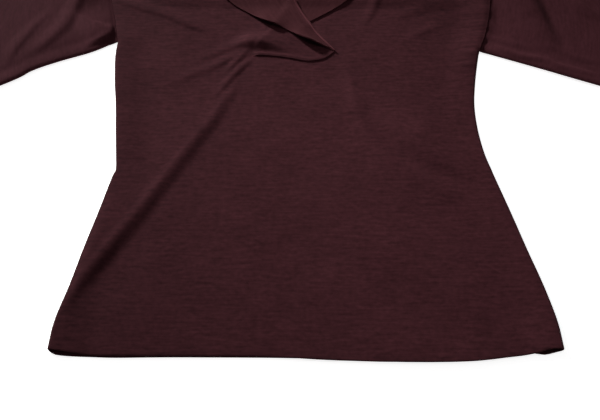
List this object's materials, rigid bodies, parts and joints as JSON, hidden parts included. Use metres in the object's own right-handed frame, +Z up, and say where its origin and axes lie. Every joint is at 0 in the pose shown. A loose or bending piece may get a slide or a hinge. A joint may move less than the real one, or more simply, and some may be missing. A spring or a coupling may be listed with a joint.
{
  "type": "sailor collar top",
  "caption": "Fine jersey top with a crossed V neck, a sailor collar and three-quarter sleeves, laid flat on its back.",
  "frame": {"origin": "the middle of the waist, on the surface that the back lies on", "axes": "+X to the right as seen from above with the hem nearest, +Y from the hem to the neck, +Z up from the surface"},
  "size_m": [1.1387, 0.6094, 0.0127],
  "materials": {
    "jersey": "matte",
    "jersey_sleeves": "matte",
    "jersey_collar": "matte"
  },
  "bodies": {
    "root": {"front": "jersey", "back": "jersey", "collar": "jersey_collar", "sleeve_left": "jersey_sleeves", "sleeve_right": "jersey_sleeves"}
  },
  "joints": []
}
